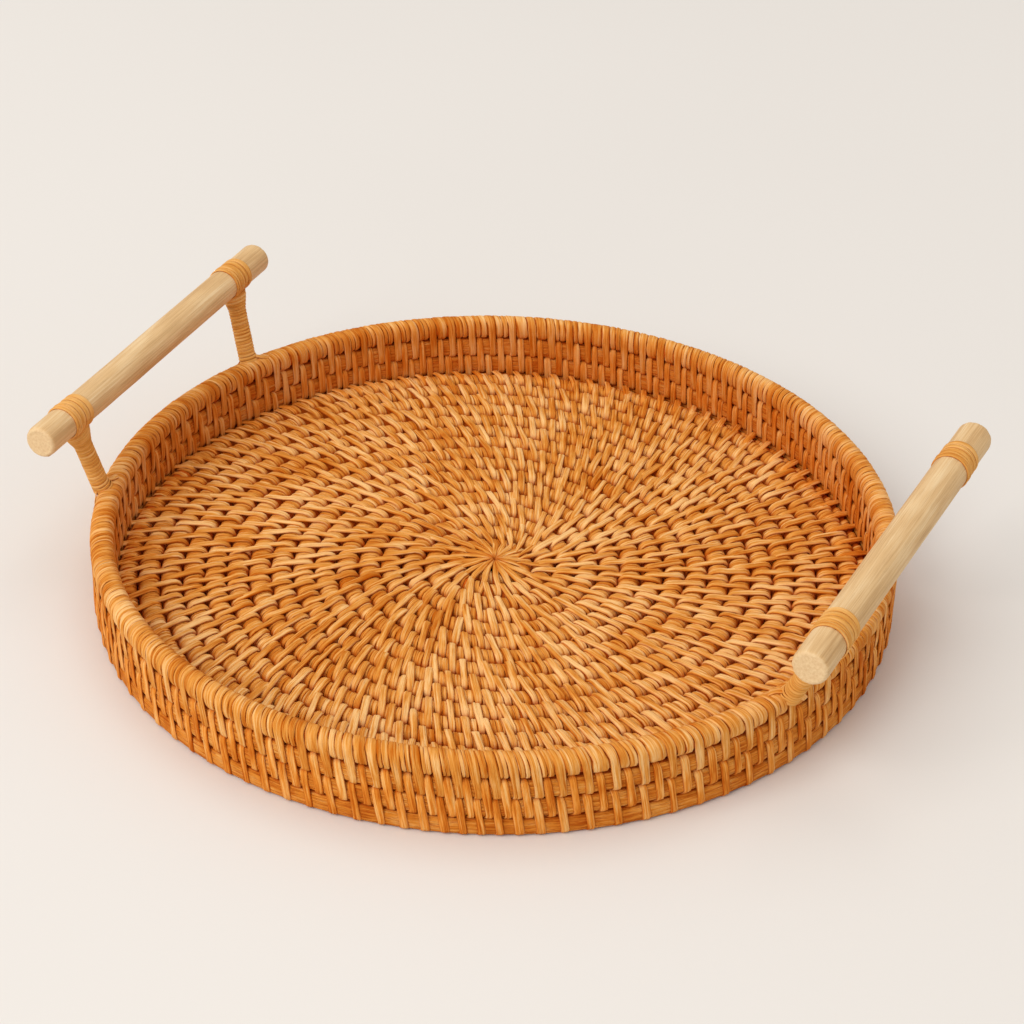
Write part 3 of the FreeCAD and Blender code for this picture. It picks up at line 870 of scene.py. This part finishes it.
lower_angles = ring_between(edge_angles)
middle_angles = shifted(ring_between(lower_angles), SET_SHIFT)
upper_angles = sorted(shifted(ring_between(middle_angles), SET_SHIFT))
edge_binding()
wall_bindings([
    ("wall_binding_lower", wall_loops(lower_angles, BASE_Z, BASE_HALF, LOWER_Z)),
    ("wall_binding_middle", wall_loops(middle_angles, LOWER_Z, ROW_HALF, UPPER_Z)),
])


# ---- handles' places
UP = np.array([0.0, 0.0, 1.0])


class Post:
    """One of the four posts: its foot on the rim's outer shoulder, its top on the bar's axis."""

    def __init__(self, side_name, end_name):
        self.name = "%s_%s" % (side_name, end_name)
        tops = {}
        for end in ("front", "back"):
            tops[end] = sum(box_mm("%s_%s_bar_lashing" % (side_name, end))) / 2
        self.top = tops[end_name]
        self.along = unit(tops["back"] - tops["front"])  # the bar's way
        self.across = unit(np.cross(self.along, UP))
        bar_low, bar_high = box_mm(side_name + "_handle_bar")
        self.bar_radius = (bar_high[2] - bar_low[2]) / 2
        middle = sum(box_mm(self.name + "_root_lashing")) / 2
        self.angle = math.atan2(middle[1], middle[0])
        out = RING + FOOT_OUT
        self.foot = np.array([out * math.cos(self.angle), out * math.sin(self.angle), RIM_Z + FOOT_UP])
        reach = self.top - self.foot
        self.length = np.linalg.norm(reach)
        self.axis = reach / self.length
        self.bar_way = unit(self.along - (self.along @ self.axis) * self.axis)
        self.outward = np.cross(self.axis, self.bar_way)


posts = [Post(side, end) for side in ("left", "right") for end in ("front", "back")]


def near_post(angle):
    """The post whose foot a wrap of the rim is close to, if any."""
    for post in posts:
        if abs(math.remainder(angle - post.angle, TAU)) * RING < ROOT_REACH:
            return post
    return None


# ---- the rim

def rim_loop(angle, width, long_one):
    """A wrap of the rim; the long ones take in the row below."""
    rim = ((RING, RIM_Z), RIM_CANE + RIM_SEAT, RIM_CANE + RIM_SEAT, RIM_FLAT)
    low = ring_shape(UPPER_Z, above=SEAT) if long_one else rim
    return Loop(
        angle, width * rng.uniform(0.97, 1.01), low, rim, steps=26 if long_one else 20,
        bulge=rng.uniform(0.0, 0.15), pinch=0.3, lying=False, crown=True, thick=RIM_PEEL, shade=0.8,
    )


def rim_shorts():
    """The rim's short wraps, one or two in each gap between the long ones."""
    found = []
    closed = upper_angles + [upper_angles[0] + TAU]
    for low, high in zip(closed, closed[1:]):
        edge = LONG_ON_RIM / 2 / RING
        room = high - low - 2 * edge
        cuts = [0.0, rng.uniform(0.38, 0.62), 1.0] if rng.random() < TWO_WRAPS else [0.0, 1.0]
        for start, end in zip(cuts, cuts[1:]):
            angle = low + edge + room * (start + end) / 2
            found.append(rim_loop(angle, room * (end - start) * RING, False))
    return found


def rim_binding(name, loops):
    """The rim's wraps of one kind, but for those at the posts' feet."""
    gathered = Gathered()
    wrap_singly(gathered, [loop for loop in loops if not near_post(loop.angle)])
    gathered.piece(name, peel, "rattan_peel", name)


rim_long = [rim_loop(angle, LONG_ON_RIM, True) for angle in upper_angles]
rim_short = rim_shorts()
rim_binding("wall_binding_upper", rim_long)
rim_binding("rim_wraps", rim_short)


# ---- the wall's bare canes
def bare_ring(name, bottom, top):
    """A row of the wall: a flattened cane with fine ridges along it."""
    gathered = Gathered()
    along, around = 720, 48  # points along the row and round its section
    theta = np.linspace(0, TAU, along, endpoint=False)
    height = (bottom + top) / 2
    shape = ring_shape(height, (top - bottom) / 2)
    section, normals = outline(shape, shape, around, 0.0)
    section, normals = section[:-1], normals[:-1]
    ridges = rng.normal(0, CANE_RIDGES, around)
    waves = sum(
        rng.uniform(0.02, 0.06) * np.sin(number * theta + rng.uniform(0, TAU))
        for number in (5, 13, 31, 67)
    )
    swell = np.minimum(ridges + waves[:, None] - 0.08, 0.0)  # never outside the row's outline
    rho = section[:, 0] + swell * normals[:, 0]
    cosine, sine = np.cos(theta)[:, None], np.sin(theta)[:, None]
    points = np.stack([rho * cosine, rho * sine, section[:, 1] + swell * normals[:, 1]], axis=-1)
    girth = np.concatenate([[0], np.cumsum(np.linalg.norm(np.diff(section, axis=0), axis=1))])
    # painted shade in the creases towards the rows above and below, and on the wall's inside
    crease = 0.9 * smooth(0.6, 1.0, np.abs(normals[:, 1]))
    inside = INNER_SHADE * smooth(0.1, 0.8, -normals[:, 0])
    faces = [face[::-1] for face in grid_faces(along, around, closed=True)]
    grain = ((theta * RING)[:, None], girth, height)
    gathered.add(points, faces, grain, (0.0, np.maximum(crease, inside), 0.0))
    gathered.piece(name, cane, "rattan_cane", name)


bare_ring("corner_row", CORNER_BOTTOM, BASE_Z + ROW_HALF)
bare_ring("wall_row_lower", LOWER_Z - ROW_HALF, LOWER_Z + ROW_HALF)
bare_ring("wall_row_upper", UPPER_Z - ROW_HALF, UPPER_Z + ROW_HALF)


# ---- handles
def bar(side_name, post, seed):
    """A peeled wooden bar: slightly uneven, rounded at its ends."""
    low, high = box_mm(side_name + "_handle_bar")
    centre = (low + high) / 2
    radius = post.bar_radius - 0.04
    splay = math.asin(abs(post.along[0]))
    half = ((high[1] - low[1]) / 2 - (radius - CAD_ROUND) * math.sin(splay)) / math.cos(splay)
    gathered = Gathered()
    round_off, around = 2.0, 96  # radius of the rounded edge; points round the bar
    ends = [(0.03, 0.0), (0.35, 0.02), (0.62, 0.06), (0.75, 0.12)]  # share of the radius, drop
    profile = [(half - drop, radius * share) for share, drop in ends]
    for angle in np.radians([80, 62, 44, 26, 10]):  # round the edge
        inwards, under = 1 - math.sin(angle), 1 - math.cos(angle)
        profile.append((half - round_off * inwards, radius - round_off * under))
    inner = [(y, radius) for y in np.linspace(half - round_off, -(half - round_off), 100)]
    profile = profile + inner + [(-y, r) for y, r in reversed(profile)]
    y, r = (np.array(column) for column in zip(*profile))
    turn = np.linspace(0, TAU, around, endpoint=False)
    knots = np.linspace(-half, half, 9)  # the uneven surface has a new height at each of these
    ridge = [np.interp(y, knots, rng.normal(0, 0.05, len(knots))) for _ in range(around)]
    flutes = sum(
        rng.uniform(0.02, 0.07) * np.sin(number * turn + rng.uniform(0, TAU))
        for number in (2, 3, 7, 11)
    )
    relief = np.minimum(np.stack(ridge, axis=1) + flutes - 0.06, 0.02)
    size = r[:, None] + relief * (r / radius)[:, None]
    points = (
        centre
        + post.along * y[:, None, None]
        + post.across * (size * np.cos(turn))[..., None]
        + UP * (size * np.sin(turn))[..., None]
    )
    cut = smooth(half - 1.2, half - 0.3, np.abs(y))  # the ends show cut wood
    grain = (y[:, None], turn * radius, seed)
    gathered.add(points, grid_faces(len(y), around), grain, (0.0, cut[:, None], 0.0))
    name = side_name + "_handle_bar"
    gathered.piece(name, wood, "bar_wood", name)


def winding(post):
    """Peel wound closely down a post; it spreads out like a trumpet under the bar."""
    gathered = Gathered()
    low, high = 1.0, post.length - 5.0  # it ends under the bar
    pitch, steps = 1.55, 30  # steps in each turn
    count = int((high - low) / pitch)
    share = np.linspace(0, 1, count * steps + 1)
    height = low + (high - low) * share
    angle = share * count * TAU + rng.uniform(0, TAU)
    flare = smooth(post.length - 15.5, post.length - 7.0, height)  # under the bar
    foot = smooth(6.0, 1.5, height)  # on the rim, and only on the tray's side
    height = height + (0.9 * flare + 0.25) * np.sin(angle + 0.8)
    cosine, sine = np.cos(angle)[:, None], np.sin(angle)[:, None]
    radial = cosine * post.bar_way + sine * post.outward
    in_open = radial @ np.array([math.cos(post.angle), math.sin(post.angle), 0.0])
    foot = foot * (1 - smooth(-0.4, 0.3, in_open))
    wide = 3.7 + 2.9 * flare + 1.4 * foot  # along the bar
    deep = 3.7 + 0.8 * flare + 1.0 * foot  # across it
    ellipse = cosine * wide[:, None] * post.bar_way + sine * deep[:, None] * post.outward
    path = post.foot + post.axis * height[:, None] + ellipse
    tones = rng.normal(0.12, 0.24, count + 1)
    tone = np.interp(share * count, np.arange(count + 1), tones)
    thick = np.interp(share * count, np.arange(count + 1), rng.uniform(0.36, 0.46, count + 1))
    sweep(gathered, path, radial, pitch * 0.53, thick, tone, 0.0, post.angle * 9 + 70)
    name = post.name + "_post_wrap"
    gathered.piece(name, lash_peel, "rattan_peel", name)


def bar_bands(post):
    """Thin strands and then broad turns of peel round the bar at the post's top."""
    gathered = Gathered()
    strand, band, gap = 1.5, 3.1, 0.03
    widths = [strand] * 3 + [band] * 3
    start = -(sum(widths) + gap * (len(widths) - 1)) / 2
    upright = np.cross(post.across, post.along)
    angle = np.linspace(0, TAU, 72, endpoint=False)
    for number, width in enumerate(widths):
        offset = start + width / 2
        start += width + gap
        thin = width == strand
        thick = 0.6 if thin else 0.46
        radial = np.cos(angle)[:, None] * post.across + np.sin(angle)[:, None] * upright
        tilt = rng.uniform(0.1, 0.35) * np.sin(angle + rng.uniform(0, TAU)) * (0.6 if thin else 0.3)
        oval = 0.05 * np.sin(2 * angle + rng.uniform(0, TAU))
        size = post.bar_radius + (0.04 if thin else 0.0) + oval
        path = post.top + post.along * (offset + tilt)[:, None] + radial * size[:, None]
        tone, seed = rng.normal(0.45, 0.25), post.angle * 5 + number + 90
        sweep(gathered, path, radial, width / 2, thick, tone, 0.0, seed, closed=True)
    name = post.name + "_bar_lashing"
    gathered.piece(name, lash_peel, "rattan_peel", name)


def crossing(gathered, post):
    """A strip from under the rim's wraps, across the foot of a post and down the other side."""
    away = np.linspace(-10.0, 8.5, 40)
    # round the rim's section: from its inner side over the crest to its outer side
    turn = np.radians(np.interp(away, [-10, -5, 0, 5, 8.5], [112, 92, 48, 10, -30]))
    bulge = 2.4 * np.exp(-((away / 2.8) ** 2))
    size = RIM_CANE + RIM_SEAT + PEEL + 0.2 + bulge - 0.9 * smooth(6.0, 10.0, np.abs(away))
    flat_points = np.stack([RING + size * np.cos(turn), RIM_Z + size * np.sin(turn)], axis=1)
    flat_normals = np.stack([np.cos(turn), np.sin(turn)], axis=1)
    path, normal = into_space(flat_points, flat_normals, post.angle + away / RING)
    # where the strip goes under the rim's wraps: it narrows there and gets painted shade
    hidden = smooth(7.0, 10.0, np.abs(away))
    half_width = CROSSING_WIDTH / 2 * (1 - 0.35 * hidden)
    sweep(gathered, path, normal, half_width, PEEL, 1.0, 0.6 * hidden, post.angle)


def roots(post):
    """The rim's wraps at a post's foot, and the strip that crosses over the foot."""
    gathered = Gathered()
    wrap_singly(gathered, [loop for loop in rim_long + rim_short if near_post(loop.angle) is post])
    crossing(gathered, post)
    name = post.name + "_root_lashing"
    gathered.piece(name, peel, "rattan_peel", name)


bar("left", posts[0], 3.0)
bar("right", posts[2], 8.0)
for post in posts:
    winding(post)
    bar_bands(post)
    roots(post)

# ---- CAD nodes that stay
# their dark cane colour is painted shade in the gaps where they show between the wraps
for node in ("floor_coil", "floor_coil_tail", "rim_cane", *[post.name + "_post" for post in posts]):
    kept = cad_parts[node]
    kept.data.materials.clear()
    kept.data.materials.append(core)

# ---- floor, light and camera
SPREAD = 4.0  # half the side of the studio's floor, in metres
stage_mesh = bpy.data.meshes.new("studio_floor")
stage_mesh.from_pydata(
    [(-SPREAD, -SPREAD, 0), (SPREAD, -SPREAD, 0), (SPREAD, SPREAD, 0), (-SPREAD, SPREAD, 0)],
    [], [(0, 1, 2, 3)],
)
stage = bpy.data.objects.new("studio_floor", stage_mesh)
bpy.context.scene.collection.objects.link(stage)
paper = Nodes("studio_paper")
paper_noise = paper.noise(paper.place(), (1.2, 1.2, 1.2), 2.0)
paper.join(
    paper.ramp(paper_noise, [(0.3, (0.77, 0.742, 0.705)), (0.7, (0.80, 0.772, 0.735))]),
    paper.shader.inputs["Base Color"],
)
paper.shader.inputs["Roughness"].default_value = 0.9
paper.shader.inputs["Specular IOR Level"].default_value = 0.1
stage_mesh.materials.append(paper.material)

world = bpy.data.worlds.new("studio")
world.use_nodes = True
background = world.node_tree.nodes["Background"]
background.inputs["Color"].default_value = (1.0, 0.97, 0.94, 1)
background.inputs["Strength"].default_value = 0.66
bpy.context.scene.world = world
LIGHT_AIM = Vector((0, 0, 0.02))


def softbox(name, place, size, power, colour):
    """A square area light, aimed at the tray."""
    light = bpy.data.lights.new(name, "AREA")
    light.shape = "SQUARE"
    light.size = size
    light.energy = power
    light.color = colour
    made = bpy.data.objects.new(name, light)
    made.location = place
    made.rotation_mode = "QUATERNION"
    made.rotation_quaternion = (LIGHT_AIM - Vector(place)).to_track_quat("-Z", "Y")
    bpy.context.scene.collection.objects.link(made)


softbox("key_light", (-1.2, -2.5, 2.5), 2.4, 70, (1.0, 0.965, 0.935))
softbox("top_light", (-0.2, 0.5, 2.6), 1.8, 12, (1.0, 0.98, 0.96))

AZIMUTH, ELEVATION, ROLL = (math.radians(angle) for angle in (25.46, 33.45, 1.26))
AIM = Vector(CENTRE * MM) + Vector((-0.0175, 0.0533, 0))  # a point on the table behind the middle
DISTANCE = 1.2617
LENS = 96.7


def add_camera():
    """The camera looks at the aim from its azimuth and elevation, rolled a little."""
    level = math.cos(ELEVATION)
    back = Vector((math.sin(AZIMUTH) * level, -math.cos(AZIMUTH) * level, math.sin(ELEVATION)))
    right = Vector((math.cos(AZIMUTH), math.sin(AZIMUTH), 0))
    up = back.cross(right)
    rolled_right = right * math.cos(ROLL) + up * math.sin(ROLL)
    rolled_up = up * math.cos(ROLL) - right * math.sin(ROLL)
    turned = Matrix((rolled_right, rolled_up, back)).transposed()
    data = bpy.data.cameras.new("camera")
    data.sensor_width = 36.0
    data.lens = LENS
    camera = bpy.data.objects.new("camera", data)
    camera.matrix_world = Matrix.Translation(AIM + back * DISTANCE) @ turned.to_4x4()
    bpy.context.scene.collection.objects.link(camera)
    bpy.context.scene.camera = camera


add_camera()
bpy.context.scene.view_settings.view_transform = "Standard"
